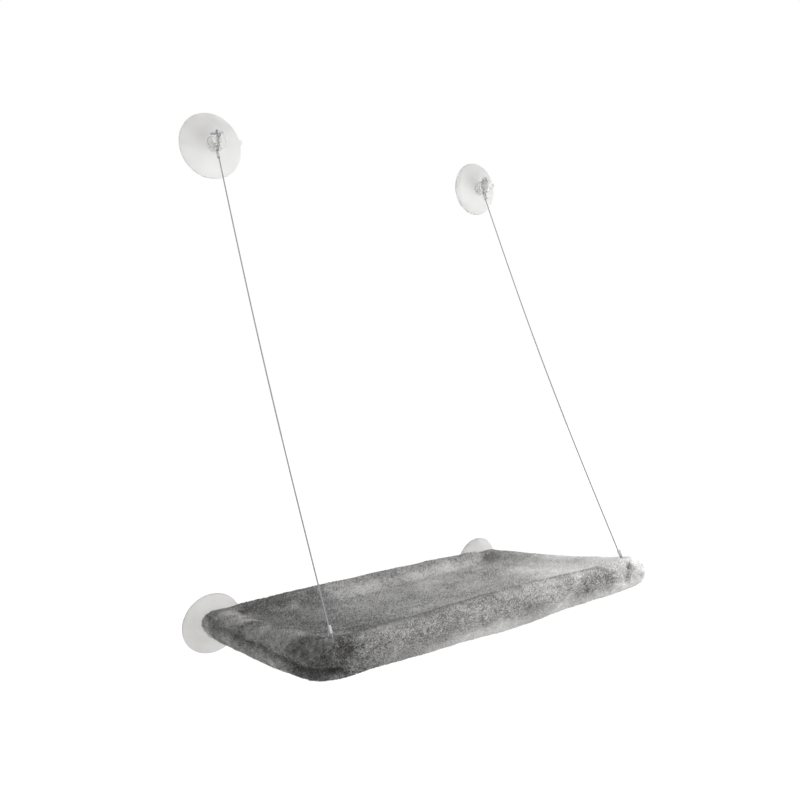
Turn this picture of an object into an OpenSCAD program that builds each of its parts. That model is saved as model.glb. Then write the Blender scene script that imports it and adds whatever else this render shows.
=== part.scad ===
// Window hammock: a plush bed on a tube frame that folds up on two suction cups and hangs
// from two more by a pair of steel cables. Millimetres, +Z up.
// The origin lies on the glass, midway between the two lower cups, and the bed reaches to -Y.

/* [Suction cups] */
// Diameter of each suction cup
cup_d = 90; // [80:1:100]
// Distance from the glass to the dome's crown, where the nub starts
cup_dome_h = 14; // [12:0.5:15]
// How full the dome is, from 1 for a plain cone
dome_curve = 1.4; // [1.1:0.1:1.6]
// Thickness of the lip at the rim
cup_lip = 1.2; // [0.8:0.1:2]
// Width of the flat ring that seals on the glass
cup_seal = 11; // [8:1:14]
// Depth of the vacuum hollow
cup_hollow = 6; // [4:0.5:8]
// Radius of the peel tab on the rim
tab_r = 4; // [3:0.5:5]
// Turn of the upper cups' peel tabs above the window's line, in degrees
tab_turn = 15; // [0:5:30]
// Diameter of the nub
nub_d = 22; // [20:0.5:24]
// Distance from the glass to the nub's end
nub_h = 38; // [36:0.5:40]
// Rounding of the nub's end
nub_round = 3; // [1:0.5:4]
// Distance from the glass to the nub's cross hole, which is the fold axis on the lower cups
eye_h = 27; // [26:0.5:29]
// Diameter of the cross hole
eye_d = 7; // [6.8:0.1:7.4]
// Half the distance between the lower cups
lower_cup_x = 258; // [250:1:270]
// Half the distance between the upper cups
upper_cup_x = 245; // [236:1:247]
// Height of the upper cups above the lower ones
upper_cup_z = 690; // [600:5:740]

/* [Frame] */
// Tilt of the bed, up at the front, in degrees
bed_tilt = 13; // [8:0.5:18]
// Distance from the fold axis to the front tube
bed_depth = 335; // [300:5:360]
// Outer diameter of the frame tubes
tube_d = 20; // [18:0.5:22]
// Wall of the frame tubes
tube_wall = 2; // [1.5:0.1:3]
// Bend radius of the front elbows
corner_r = 25; // [24:0.5:28]
// Length of the spigots inside the tubes
spigot = 24; // [18:1:30]
// Thickness of each cheek of the rear forks
cheek = 4; // [3:0.5:5]
// Radius of the cheeks round the fold axis
cheek_r = 7.5; // [6.5:0.5:8.5]
// Thickness of the bridge between a fork's cheeks
bridge = 6; // [4:0.5:8]
// Diameter of the frame screws' shanks
screw_d = 3; // [2.5:0.1:3.5]
// Diameter of the frame screws' countersunk heads
screw_head_d = 5.6; // [5:0.1:6]

/* [Cables] */
// Diameter of the steel cable
cable_d = 1.8; // [1.4:0.1:2]
// Sag of the cable at its middle, across its run
cable_bow = 8; // [2:1:14]
// Diameter of the toggle pins on the upper cups
toggle_d = 5; // [4:0.5:5.5]
// Length of the toggle pins
toggle_l = 18; // [14:1:20]
// Turn of the toggle pins away from the window's line, in degrees
toggle_turn = 40; // [0:5:50]
// Turn of the anchor pin's place round the elbow, from the side tube, in degrees
anchor_turn = 61; // [55:1:68]
// Diameter of the anchor pins in the front elbows
anchor_d = 4; // [3:0.5:5]
// Length of the anchor pins
anchor_l = 16; // [12:1:18]
// Length of the crimped ferrules
ferrule_l = 9; // [7:0.5:12]
// Wall of the crimped ferrules
ferrule_wall = 0.9; // [0.6:0.1:1.2]

/* [Cover] */
// Diameter of the plush rolls round the tubes
roll_d = 44; // [40:1:46]
// Sag of the lying sheet at its middle
sheet_sag = 18; // [8:1:26]
// Thickness of the plush sheet
plush_t = 6; // [4:0.5:8]
// Thickness of the wadding inside
wadding_t = 4.5; // [3:0.5:8]
// Thickness of the base cloth underneath
base_t = 2; // [1.5:0.5:3]
// Thickness of the plush flaps over the rear forks
flap_t = 5; // [3:0.5:6]

/* [Zip] */
// Half the length of the zip under the rear roll
zip_half = 190; // [150:5:200]
// Width of the zip tape
zip_tape_w = 18; // [14:1:22]
// Width of the zip's coil
coil_w = 5; // [4:0.5:6]
// Height of the zip's coil
coil_h = 1.8; // [1.4:0.1:2.4]
// Length of the zip slider
slider_l = 14; // [12:1:18]
// Length of the zip puller below its pin
puller_l = 24; // [18:1:30]

/* [Fits] */
// Radial clearance of a pin that turns in a hole
run_fit = 0.07; // [0.03:0.01:0.1]
// Gap between pieces that seat on each other
seat = 0.05; // [0.02:0.01:0.1]
// Gap between soft pieces and their neighbours
soft_gap = 0.3; // [0.2:0.05:0.4]
// Gap between pieces that pass each other as the bed folds
fold_gap = 0.8; // [0.6:0.1:1.2]

/* [Hidden] */
$fn = 48;

clear_pvc = [0.86, 0.88, 0.90, 0.6];
steel = [0.72, 0.74, 0.76];
zinc = [0.62, 0.63, 0.68];
white_plastic = [0.93, 0.93, 0.91];
grey_plush = [0.60, 0.61, 0.62];
grey_cloth = [0.45, 0.46, 0.48];
white_wadding = [0.95, 0.95, 0.94];
black_nylon = [0.16, 0.16, 0.17];

cup_r = cup_d / 2;
nub_r = nub_d / 2;
tube_r = tube_d / 2;
roll_r = roll_d / 2;
cable_r = cable_d / 2;
spigot_r = tube_r - tube_wall - seat;
hinge_pin_d = eye_d - 2 * run_fit;

// A suction cup, along +Z from the glass, with its cross hole along Y and its saddle on +Y.
saddle_cut = 1.5;
saddle_z = nub_r - saddle_cut;
mouth_flare = 1.3;
mouth_r = eye_d / 2 + mouth_flare;
mouth_depth = 2;
curve_steps = 14;

// Height of the dome over the glass at a distance r from the cup's axis
function dome_h(r) = r >= cup_r ? 0
    : cup_lip + (cup_dome_h - cup_lip) * (1 - pow(max(0, r - nub_r) / (cup_r - nub_r), dome_curve));

function hollow_h(r) = cup_hollow * (1 - pow(r / (cup_r - cup_seal), 2));

module cup_profile() {
    hollow_r = cup_r - cup_seal;
    polygon(concat(
        [for (i = [0:curve_steps]) [hollow_r * i / curve_steps, hollow_h(hollow_r * i / curve_steps)]],
        [[cup_r, 0]],
        [for (i = [curve_steps:-1:0]) let (r = nub_r + (cup_r - nub_r) * i / curve_steps) [r, dome_h(r)]],
        [for (a = [0:15:90]) [nub_r - nub_round * (1 - cos(a)), nub_h - nub_round * (1 - sin(a))]],
        [[0, nub_h]]));
}

module suction_cup(turn) {
    color(clear_pvc) difference() {
        union() {
            rotate_extrude($fn = 96) cup_profile();
            rotate([0, 0, turn]) translate([cup_r, 0, 0]) cylinder(r = tab_r, h = cup_lip);
        }
        translate([0, 0, eye_h]) rotate([90, 0, 0]) cylinder(d = eye_d, h = 2 * cup_r, center = true);
        translate([-nub_r, saddle_z, cup_dome_h + fold_gap]) cube([nub_d, nub_r, nub_h]);
        translate([0, saddle_z, eye_h]) rotate([90, 0, 0])
            translate([0, 0, -seat]) cylinder(r1 = mouth_r, r2 = eye_d / 2, h = mouth_depth);
    }
}

// An upper cup stands with its cross hole upright, and a lower one with it along X and its tab
// turned inwards.
module upper_cup(side) {
    translate([side * upper_cup_x, 0, upper_cup_z]) rotate([90, 0, 0]) suction_cup(tab_turn);
}

module lower_cup(side) {
    translate([side * lower_cup_x, 0, 0]) rotate([90, 0, 0]) rotate([0, 0, -90])
        suction_cup(-90 * side);
}

// The bed's own frame: the fold axis is X, -Y runs out along the bed and Z is square to it.
module on_bed() {
    translate([0, -eye_h, 0]) rotate([-bed_tilt, 0, 0]) children();
}

module on_side(side) {
    if (side < 0) mirror([1, 0, 0]) children();
    else children();
}

// A point of the bed at x, out along it, in the part's frame, and a direction in the bed's own frame
function bed_point(x, out) = [x, -eye_h - out * cos(bed_tilt), out * sin(bed_tilt)];
function in_bed(v) = [v.x, v.y * cos(bed_tilt) - v.z * sin(bed_tilt),
    v.y * sin(bed_tilt) + v.z * cos(bed_tilt)];

// Moves what it holds to a place, with its axes along three directions
module placed(at, x, y, z) {
    multmatrix([[x.x, y.x, z.x, at.x], [x.y, y.y, z.y, at.y], [x.z, y.z, z.z, at.z], [0, 0, 0, 1]])
        children();
}

// Right cable's route: round the toggle pin, down through the upper ferrule, along the free run,
// through the lower ferrule, round the anchor pin and back into that ferrule.
function unit(v) = v / norm(v);
function across(v, along) = unit(v - (v * along) * along);

side_x = lower_cup_x;
bend_x = side_x - corner_r;
bend_out = bed_depth - corner_r;
anchor_x = bend_x + corner_r * cos(anchor_turn);
anchor_out = bend_out + corner_r * sin(anchor_turn);
toggle_at = [upper_cup_x, -eye_h, upper_cup_z + saddle_z + toggle_d / 2 + seat];
anchor_at = bed_point(anchor_x, anchor_out);
nub_exit = 3;
ferrule_top = [upper_cup_x, -eye_h, upper_cup_z - nub_r - nub_exit];
run_dir = unit(anchor_at - ferrule_top);
toggle_side = [-sin(toggle_turn), cos(toggle_turn), 0];
upper_pair = across(toggle_side, run_dir);
lower_pair = across([0, 1, 0], run_dir);
strand = cable_r + 0.25;
hole_strand = cable_r + 1;
mouth_strand = cable_r + 1.4;
toggle_loop = toggle_d / 2 + cable_r + soft_gap;
anchor_loop = anchor_d / 2 + cable_r + soft_gap;
ferrule_off = roll_r + 5;
run_steps = 14;
cable_sides = 8;

function eye_level(z) = [upper_cup_x, -eye_h, upper_cup_z + z];
function upper_leg(s) = [eye_level(saddle_z - mouth_depth) + s * mouth_strand * toggle_side,
    eye_level(1 - nub_r) + s * hole_strand * toggle_side,
    ferrule_top + s * strand * upper_pair];
function reversed(list) = [for (i = [len(list) - 1:-1:0]) list[i]];

run_from = ferrule_top + ferrule_l * run_dir + strand * upper_pair;
run_to = anchor_at - (ferrule_off + ferrule_l) * run_dir + strand * lower_pair;
cable_route = concat(
    [ferrule_top + (ferrule_l - 1) * run_dir - strand * upper_pair],
    reversed(upper_leg(-1)),
    [for (a = [0:30:180]) toggle_at + toggle_loop * (sin(a) * [0, 0, 1] - cos(a) * toggle_side)],
    upper_leg(1),
    [for (i = [0:run_steps]) let (t = i / run_steps)
        run_from + t * (run_to - run_from) + cable_bow * sin(180 * t) * lower_pair],
    [anchor_at - ferrule_off * run_dir + strand * lower_pair],
    [for (a = [0:30:180]) anchor_at + anchor_loop * (cos(a) * lower_pair + sin(a) * run_dir)],
    [anchor_at - ferrule_off * run_dir - strand * lower_pair,
        anchor_at - (ferrule_off + ferrule_l - 1) * run_dir - strand * lower_pair]);

// A closed tube of one radius along a route that never runs along X
module swept_tube(route, radius, sides) {
    last = len(route) - 1;
    points = [for (i = [0:last])
        let (way = unit(route[min(i + 1, last)] - route[max(i - 1, 0)]),
            first = across([1, 0, 0], way), second = cross(way, first))
        for (k = [0:sides - 1]) let (turn = 360 * k / sides)
            route[i] + radius * (cos(turn) * first + sin(turn) * second)];
    walls = [for (i = [0:last - 1]) for (k = [0:sides - 1])
        let (a = i * sides + k, b = i * sides + (k + 1) % sides)
        for (face = [[a, a + sides, b], [b, a + sides, b + sides]]) face];
    caps = concat([for (k = [1:sides - 2]) [0, k, k + 1]],
        [for (k = [1:sides - 2]) [last * sides, last * sides + k + 1, last * sides + k]]);
    polyhedron(points, concat(walls, caps));
}

module cable(side) {
    color(steel) on_side(side) swept_tube(cable_route, cable_r, cable_sides);
}

module toggle_pin(side) {
    color(zinc) on_side(side) translate(toggle_at) rotate([0, 0, toggle_turn]) rotate([0, 90, 0])
        cylinder(d = toggle_d, h = toggle_l, center = true);
}

// An oval sleeve crimped over the two strands beside each other
module oval(r) {
    square([2 * strand, 2 * r], center = true);
    for (s = [-1, 1]) translate([s * strand, 0]) circle(r = r);
}

module ferrule(side, start, pair) {
    color(zinc) on_side(side) placed(start, pair, cross(run_dir, pair), run_dir)
        linear_extrude(ferrule_l) difference() {
            oval(cable_r + seat + ferrule_wall);
            oval(cable_r + seat);
        }
}

module upper_ferrule(side) {
    ferrule(side, ferrule_top, upper_pair);
}

module lower_ferrule(side) {
    ferrule(side, anchor_at - (ferrule_off + ferrule_l) * run_dir, lower_pair);
}

// Rear fork: two cheeks on the fold axis straddle the cup's nub, and a bridge in front
// of the nub carries the side tube. The inner cheek carries the rear tube on the fold axis.
nub_play = 0.4;
cheek_in = nub_r + nub_play;
cheek_out = cheek_in + cheek;
bridge_out = sqrt(pow(nub_h - eye_h, 2) + pow(nub_r, 2)) + fold_gap;
bridge_end = bridge_out + bridge;
rear_half = side_x - cheek_out;
screw_at = spigot / 2;

// A frame screw's hole from below, countersunk so that the head's flat lies under the tube's round
head_z = sqrt(pow(tube_r, 2) - pow(screw_head_d / 2, 2));
head_h = tube_wall - (tube_r - head_z);

module screw_hole() {
    translate([0, 0, -tube_r - 1]) {
        cylinder(d = screw_d, h = tube_r + 1);
        cylinder(d = screw_head_d, h = tube_r + 1 - head_z);
    }
    translate([0, 0, -head_z]) cylinder(d1 = screw_head_d, d2 = screw_d, h = head_h);
}

module rear_fork(side) {
    color(white_plastic) on_bed() on_side(side) difference() {
        union() {
            for (x = [side_x - cheek_out, side_x + cheek_in]) {
                translate([x, 0, 0]) rotate([0, 90, 0]) cylinder(r = cheek_r, h = cheek);
                translate([x, -bridge_end, -cheek_r]) cube([cheek, bridge_end, 2 * cheek_r]);
            }
            translate([side_x - cheek_out, -bridge_end, -cheek_r]) cube([2 * cheek_out, bridge, 2 * cheek_r]);
            translate([side_x, -bridge_end, 0]) rotate([90, 0, 0]) cylinder(r = spigot_r, h = spigot);
            translate([rear_half, 0, 0]) rotate([0, -90, 0]) cylinder(r = spigot_r, h = spigot);
        }
        translate([rear_half, 0, 0]) rotate([0, 90, 0])
            cylinder(d = hinge_pin_d + 2 * seat, h = 3 * cheek_out);
        translate([side_x, -bridge_end - screw_at, 0]) screw_hole();
        translate([rear_half - screw_at, 0, 0]) screw_hole();
    }
}

module hinge_pin(side) {
    color(steel) on_bed() on_side(side) translate([rear_half, 0, 0]) rotate([0, 90, 0])
        cylinder(d = hinge_pin_d, h = 2 * cheek_out);
}

// Frame tubes, cut square to seat in a span, each with a screw hole over the spigot at either end
module tube(span) {
    color(white_plastic) difference() {
        translate([0, 0, seat]) cylinder(r = tube_r, h = span - 2 * seat);
        cylinder(r = tube_r - tube_wall, h = span);
        for (z = [screw_at, span - screw_at]) translate([0, 0, z]) rotate([0, -90, 0]) screw_hole();
    }
}

module rear_tube() {
    on_bed() translate([-rear_half, 0, 0]) rotate([0, 90, 0]) tube(2 * rear_half);
}

module front_tube() {
    on_bed() translate([-bend_x, -bed_depth, 0]) rotate([0, 90, 0]) tube(2 * bend_x);
}

module side_tube(side) {
    on_bed() translate([side * side_x, -bridge_end, 0]) rotate([90, 0, 0]) rotate([0, 0, -90])
        tube(bend_out - bridge_end);
}

// Front elbow: a bend with a spigot at either end, slotted from above for the cable's loop
slot_w = cable_d + 2.4;
slot_r = anchor_loop + cable_r + fold_gap;
anchor_in_bed = [anchor_x, -anchor_out, 0];
up_cable = in_bed(-run_dir);
slot_side = in_bed(lower_pair);

module cable_slot() {
    placed(anchor_in_bed, slot_side, up_cable, cross(slot_side, up_cable))
        linear_extrude(slot_w, center = true) {
            circle(r = slot_r);
            translate([-slot_r, 0]) square([2 * slot_r, tube_d]);
        }
}

module front_elbow(side) {
    color(white_plastic) on_bed() on_side(side) difference() {
        union() {
            translate([bend_x, -bend_out, 0]) rotate([0, 0, -90]) rotate_extrude(angle = 90)
                translate([corner_r, 0]) circle(r = tube_r);
            translate([side_x, -bend_out, 0]) rotate([-90, 0, 0]) cylinder(r = spigot_r, h = spigot);
            translate([bend_x, -bed_depth, 0]) rotate([0, -90, 0]) cylinder(r = spigot_r, h = spigot);
        }
        cable_slot();
        translate(anchor_in_bed) rotate([0, 90, 0])
            cylinder(d = anchor_d + 2 * seat, h = anchor_l + 2 * seat, center = true);
        translate([side_x, -bend_out + screw_at, 0]) screw_hole();
        translate([bend_x - screw_at, -bed_depth, 0]) screw_hole();
    }
}

module anchor_pin(side) {
    color(zinc) on_bed() on_side(side) translate(anchor_in_bed) rotate([0, 90, 0])
        cylinder(d = anchor_d, h = anchor_l, center = true);
}

// One countersunk screw from below at each end of each tube
screw_places = [[side_x, bridge_end + screw_at], [rear_half - screw_at, 0],
    [side_x, bend_out - screw_at], [bend_x - screw_at, bed_depth]];
screw_slot = 0.8;

module frame_screws() {
    color(zinc) on_bed() for (side = [-1, 1]) for (place = screw_places)
        translate([side * place[0], -place[1], 0]) difference() {
            translate([0, 0, -head_z]) {
                cylinder(d1 = screw_head_d - 2 * seat, d2 = screw_d - 2 * seat, h = head_h);
                cylinder(d = screw_d - 2 * seat, h = head_z - seat);
            }
            translate([-screw_head_d / 2, -screw_slot / 2, -head_z - seat])
                cube([screw_head_d, screw_slot, screw_slot]);
        }
}

// Plush sleeves: padded rolls sewn round the tubes. A station is [x, out, heading, outer, inner],
// where heading is the direction of the roll's run, in degrees from +X towards the front.
sleeve_sides = 16;
sleeve_bore = (tube_r + soft_gap) / cos(180 / sleeve_sides);

function station_ring(s, r) = [for (k = [0:sleeve_sides - 1]) let (a = 360 * k / sleeve_sides)
    [s[0] + r * cos(a) * sin(s[2]), -s[1] + r * cos(a) * cos(s[2]), r * sin(a)]];

module sleeve(stations) {
    count = len(stations);
    n = sleeve_sides;
    points = concat([for (s = stations) each station_ring(s, s[3])],
        [for (s = stations) each station_ring(s, s[4])]);
    inner = count * n;
    last = (count - 1) * n;
    walls = [for (i = [0:count - 2]) for (k = [0:n - 1])
        let (a = i * n + k, b = i * n + (k + 1) % n)
        for (face = [[a, b, a + n], [b, b + n, a + n],
            [inner + a, inner + a + n, inner + b], [inner + b, inner + a + n, inner + b + n]]) face];
    ends = [for (k = [0:n - 1]) let (a = k, b = (k + 1) % n)
        for (face = [[a, inner + a, b], [b, inner + a, inner + b],
            [last + a, last + b, last + inner + a], [last + b, last + inner + b, last + inner + a]]) face];
    polyhedron(points, concat(walls, ends));
}

// A front corner's bend, from the side tube at 0 degrees to the front tube at 90
function bend_station(side, turn) = [side * (bend_x + corner_r * cos(turn)), bend_out + corner_r * sin(turn),
    side > 0 ? 90 + turn : 90 - turn, roll_r, sleeve_bore];

mitre = asin(soft_gap / corner_r);
bend_step = 45 / 3;
straight_steps = 6;

module cable_passage() {
    for (side = [-1, 1]) on_side(side)
        placed(anchor_in_bed, cross(slot_side, up_cable), slot_side, up_cable)
        cylinder(r = anchor_loop + cable_r, h = 2 * roll_r);
}

module front_sleeve() {
    right_bend = [for (t = [45 + mitre, 45 + bend_step, 45 + 2 * bend_step, 90]) bend_station(1, t)];
    left_bend = [for (t = [90, 45 + 2 * bend_step, 45 + bend_step, 45 + mitre]) let (s = bend_station(-1, t))
        [s[0], s[1], 270 - t, s[3], s[4]]];
    straight = [for (i = [1:straight_steps - 1])
        [bend_x * (1 - 2 * i / straight_steps), bed_depth, 180, roll_r, sleeve_bore]];
    color(grey_plush) on_bed() difference() {
        sleeve(concat(right_bend, straight, left_bend));
        cable_passage();
    }
}

// The rear roll narrows beside the cups, so that it clears their domes as the bed folds.
function rear_roll_r(x) = min(roll_r, eye_h - dome_h(side_x - abs(x)) - fold_gap);

rear_steps = 6;
rear_taper = cup_r - cheek_out;

module rear_sleeve() {
    taper = [for (i = [0:rear_steps]) rear_half - soft_gap - rear_taper * i / rear_steps];
    places = concat([for (x = taper) -x], [0], reversed(taper));
    color(grey_plush) on_bed()
        sleeve([for (x = reversed(places)) [x, 0, 180, rear_roll_r(x), sleeve_bore]]);
}

// A side roll starts as a hood over the fork's bridge, and a plush flap covers the outer cheek.
hood_r = sqrt(pow(cheek_out, 2) + pow(cheek_r, 2)) + soft_gap;
hood_bore = hood_r / cos(180 / sleeve_sides);
hood_start = bridge_out - fold_gap;
hood_wall = 1.5;
hood_l = bridge_end + soft_gap - hood_start;
flap_r = eye_h - dome_h(cheek_out) - fold_gap;
cheek_face_x = side_x + cheek_out + soft_gap;

// The roll's radius at a distance from the hood's mouth, where it rounds off
function hood_roll_r(d) = let (mouth = min(hood_bore + hood_wall, roll_r))
    mouth + (roll_r - mouth) * sin(90 * min(1, d / hood_l));

module side_sleeve(side) {
    hood = concat(
        [for (d = [0, hood_l / 3, 2 * hood_l / 3, hood_l])
            [side_x, hood_start + d, 90, hood_roll_r(d), hood_bore]],
        [[side_x, hood_start + hood_l + soft_gap, 90, roll_r, sleeve_bore]]);
    straight = [for (i = [1:straight_steps - 1])
        [side_x, bridge_end + (bend_out - bridge_end) * i / straight_steps, 90, roll_r, sleeve_bore]];
    bend = [for (t = [0, bend_step, 2 * bend_step, 45 - mitre]) bend_station(1, t)];
    color(grey_plush) on_bed() on_side(side) difference() {
        sleeve(concat(hood, straight, bend));
        cable_passage();
    }
}

module fork_flap(side) {
    color(grey_plush) on_bed() on_side(side) translate([cheek_face_x, 0, 0]) {
        rotate([0, 90, 0]) cylinder(r = flap_r, h = flap_t);
        translate([0, soft_gap - hood_start, -flap_r]) cube([flap_t, hood_start - soft_gap, 2 * flap_r]);
    }
}

// Lying sheet, wadding and base cloth: three layers that sag together between the rolls.
// Their outline is a rectangle with rounded corners, drawn in by a distance from the tubes.
layer_edge = roll_r + soft_gap;
layer_corner = 4;
corner_steps = 3;
long_steps = 8;
short_steps = 6;
mid_out = bed_depth / 2;

function sag_at(x, out) = sheet_sag * max(0, 1 - pow(x / (side_x - roll_r), 2))
    * max(0, 1 - pow((out - mid_out) / (mid_out - roll_r), 2));

function between(a, b, steps) = [for (i = [1:steps - 1]) a + (b - a) * i / steps];

function outline(d) = let (w = side_x - d - layer_corner, h = mid_out - d - layer_corner,
        corners = [[w, h, 0], [-w, h, 90], [-w, -h, 180], [w, -h, 270]],
        arcs = [for (c = corners) [for (i = [0:corner_steps]) let (a = c[2] + 90 * i / corner_steps)
            [c[0] + layer_corner * cos(a), mid_out + c[1] + layer_corner * sin(a)]]])
    [for (q = [0:3]) each concat(arcs[q],
        between(arcs[q][corner_steps], arcs[(q + 1) % 4][0], q % 2 == 0 ? long_steps : short_steps))];

module layer(edge, low, high) {
    depths = [for (t = [0, 0.08, 0.22, 0.42, 0.66, 0.9]) edge + t * (mid_out - edge - layer_corner)];
    count = len(depths);
    n = len(outline(edge));
    sheet = [for (d = depths) each outline(d)];
    function raised(p, lift) = [p[0], -p[1], lift - sag_at(p[0], p[1])];
    centre = [0, mid_out];
    points = concat([for (p = sheet) raised(p, high)], [for (p = sheet) raised(p, low)],
        [raised(centre, high), raised(centre, low)]);
    under = count * n;
    top_mid = 2 * under;
    faces = [for (k = [0:n - 1]) let (next = (k + 1) % n, rim = (count - 1) * n) each concat(
        [for (i = [0:count - 2]) let (a = i * n + k, b = i * n + next) each
            [[a, b, a + n], [b, b + n, a + n],
            [under + a, under + a + n, under + b], [under + b, under + a + n, under + b + n]]],
        [[rim + k, rim + next, top_mid], [under + rim + next, under + rim + k, top_mid + 1],
            [k, under + k, next], [next, under + k, under + next]])];
    polyhedron(points, faces);
}

wadding_inset = 14;
wadding_top = wadding_t / 2;
sheet_low = wadding_top + 2 * soft_gap;
base_top = -wadding_t / 2 - soft_gap;

module lying_sheet() {
    color(grey_plush) on_bed() layer(layer_edge, sheet_low, sheet_low + plush_t);
}

module wadding_pad() {
    color(white_wadding) on_bed() layer(layer_edge + wadding_inset, -wadding_top, wadding_top);
}

module base_cloth() {
    color(grey_cloth) on_bed() layer(layer_edge, base_top - base_t, base_top);
}

// Zip along the underside of the rear roll, so that the cover comes off for washing
tape_in = roll_r + soft_gap;
tape_t = 0.8;
coil_top = tape_in + tape_t + seat;
coil_foot = coil_top + coil_h;
slider_gap = 0.3;
slider_wall = 1.6;
slider_foot = coil_foot + slider_gap + slider_wall;
slider_x = -zip_half + 12;
bail_gap = 2.2;
bail_t = 1.2;
bail_w = 2.4;
bail_half = 5.4;
pin_d = 1.6;
pin_drop = slider_foot + bail_gap / 2;
arm_in = bail_w / 2 + 0.6;
puller_w = 9;
puller_t = 1.6;
tab_start = norm([bail_half, bail_gap / 2 + bail_t]) + 0.6;

module zip_tape() {
    half_angle = zip_tape_w / tape_in * 90 / PI;
    reach = 2 * roll_r;
    color(black_nylon) on_bed() translate([-zip_half, 0, 0]) rotate([0, 90, 0]) linear_extrude(2 * zip_half)
        intersection() {
            difference() {
                circle(r = tape_in + tape_t, $fn = 96);
                circle(r = tape_in, $fn = 96);
            }
            polygon([[0, 0], [reach, reach * tan(half_angle)], [reach, -reach * tan(half_angle)]]);
        }
}

module zip_coil() {
    half = zip_half - 4;
    color(black_nylon) on_bed() translate([-half, -coil_w / 2, -coil_foot]) cube([2 * half, coil_w, coil_h]);
}

module zip_stops() {
    color(zinc) on_bed() for (side = [-1, 1])
        translate([side * (zip_half - 2.4) - 1.4, -coil_w / 2, -coil_foot]) cube([2.8, coil_w, coil_h]);
}

module zip_slider() {
    outer = coil_w / 2 + slider_gap + slider_wall;
    color(zinc) on_bed() translate([slider_x, 0, 0]) {
        difference() {
            translate([-slider_l / 2, -outer, -slider_foot])
                cube([slider_l, 2 * outer, slider_foot - coil_top - slider_gap]);
            translate([-slider_l, -outer + slider_wall, -coil_foot - slider_gap])
                cube([2 * slider_l, 2 * (outer - slider_wall), coil_foot]);
        }
        translate([-bail_half, -bail_w / 2, -slider_foot - bail_gap - bail_t]) difference() {
            cube([2 * bail_half, bail_w, bail_gap + bail_t]);
            translate([bail_t, -1, bail_t]) cube([2 * (bail_half - bail_t), bail_w + 2, bail_gap + 1]);
        }
    }
}

module zip_puller() {
    hole_d = 4;
    color(zinc) on_bed() translate([slider_x, 0, -pin_drop]) {
        rotate([90, 0, 0]) cylinder(d = pin_d, h = puller_w - 1, center = true);
        for (side = [-1, 1]) translate([-puller_t / 2, side > 0 ? arm_in : -puller_w / 2, -tab_start - 1])
            cube([puller_t, puller_w / 2 - arm_in, tab_start + 1]);
        difference() {
            union() {
                translate([-puller_t / 2, -puller_w / 2, -puller_l + puller_w / 2])
                    cube([puller_t, puller_w, puller_l - puller_w / 2 - tab_start]);
                translate([0, 0, -puller_l + puller_w / 2]) rotate([0, 90, 0])
                    cylinder(d = puller_w, h = puller_t, center = true);
            }
            translate([0, 0, -puller_l + puller_w / 2]) rotate([0, 90, 0])
                cylinder(d = hole_d, h = 2 * puller_t, center = true);
        }
    }
}

upper_cup(-1);  // upper_left_cup
upper_cup(1);  // upper_right_cup
lower_cup(-1);  // lower_left_cup
lower_cup(1);  // lower_right_cup
toggle_pin(-1);  // left_toggle_pin
toggle_pin(1);  // right_toggle_pin
cable(-1);  // left_cable
cable(1);  // right_cable
upper_ferrule(-1);  // upper_left_ferrule
upper_ferrule(1);  // upper_right_ferrule
lower_ferrule(-1);  // lower_left_ferrule
lower_ferrule(1);  // lower_right_ferrule
front_tube();
rear_tube();
side_tube(-1);  // left_tube
side_tube(1);  // right_tube
front_elbow(-1);  // front_left_elbow
front_elbow(1);  // front_right_elbow
rear_fork(-1);  // rear_left_fork
rear_fork(1);  // rear_right_fork
hinge_pin(-1);  // left_hinge_pin
hinge_pin(1);  // right_hinge_pin
anchor_pin(-1);  // left_anchor_pin
anchor_pin(1);  // right_anchor_pin
frame_screws();
front_sleeve();
rear_sleeve();
side_sleeve(-1);  // left_sleeve
side_sleeve(1);  // right_sleeve
fork_flap(-1);  // left_fork_flap
fork_flap(1);  // right_fork_flap
lying_sheet();
wadding_pad();
base_cloth();
zip_tape();
zip_coil();
zip_stops();
zip_slider();
zip_puller();
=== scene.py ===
from math import cos, pi, radians, sin

import bmesh
import bpy
import numpy as np
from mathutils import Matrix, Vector, noise


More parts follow.
